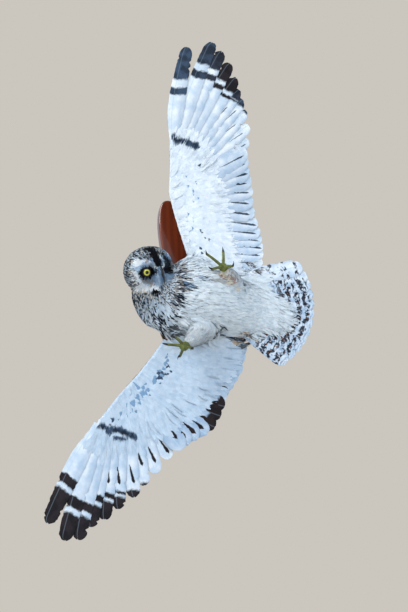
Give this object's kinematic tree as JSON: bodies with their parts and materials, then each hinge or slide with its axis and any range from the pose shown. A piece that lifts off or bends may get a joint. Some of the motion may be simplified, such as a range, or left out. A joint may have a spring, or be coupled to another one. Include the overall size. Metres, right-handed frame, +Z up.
{
  "type": "taxidermy short-eared owl on a wall slab",
  "caption": "Life-size stuffed short-eared owl in flight, belly outwards with its wings spread, set on a leaf-shaped varnished slab that hangs on a wall.",
  "frame": {"origin": "on the flat back face of the slab, against the wall, behind the bird's breast", "axes": "+X to the right along the wall, +Y into the wall, +Z up; the bird flies towards -X with its belly towards -Y"},
  "size_m": [0.4917, 0.1886, 0.9133],
  "materials": {
    "slab_wood": "glossy red-brown varnish",
    "body_plumage": "soft white and cream feathers",
    "streaked_plumage": "white feathers with brown-black streaks",
    "underwing_coverts": "small flat white feathers with grey flecks",
    "flight_feathers": "smooth white vanes with dark bars and tips",
    "leg_plumage": "fine cream hair-like feathers",
    "eye_glass": "polished glass with a yellow iris and black pupil",
    "horn": "smooth black horn",
    "toe_skin": "scaly olive-yellow skin"
  },
  "bodies": {
    "root": {"wall_slab": "slab_wood", "head": "streaked_plumage", "eye_right": "eye_glass", "eye_left": "eye_glass", "bill": "horn", "trunk": "body_plumage", "neck": "streaked_plumage", "wing_left_arm": "underwing_coverts", "wing_left_hand": "underwing_coverts", "wing_left_primaries": "flight_feathers", "wing_left_secondaries": "flight_feathers", "wing_right_arm": "underwing_coverts", "wing_right_hand": "underwing_coverts", "wing_right_primaries": "flight_feathers", "wing_right_secondaries": "flight_feathers", "tail": "flight_feathers", "leg_left": "leg_plumage", "foot_left": "toe_skin", "claw_left_1": "horn", "claw_left_2": "horn", "claw_left_3": "horn", "claw_left_4": "horn", "leg_right": "leg_plumage", "foot_right": "toe_skin", "claw_right_1": "horn", "claw_right_2": "horn", "claw_right_3": "horn", "claw_right_4": "horn"}
  },
  "joints": []
}
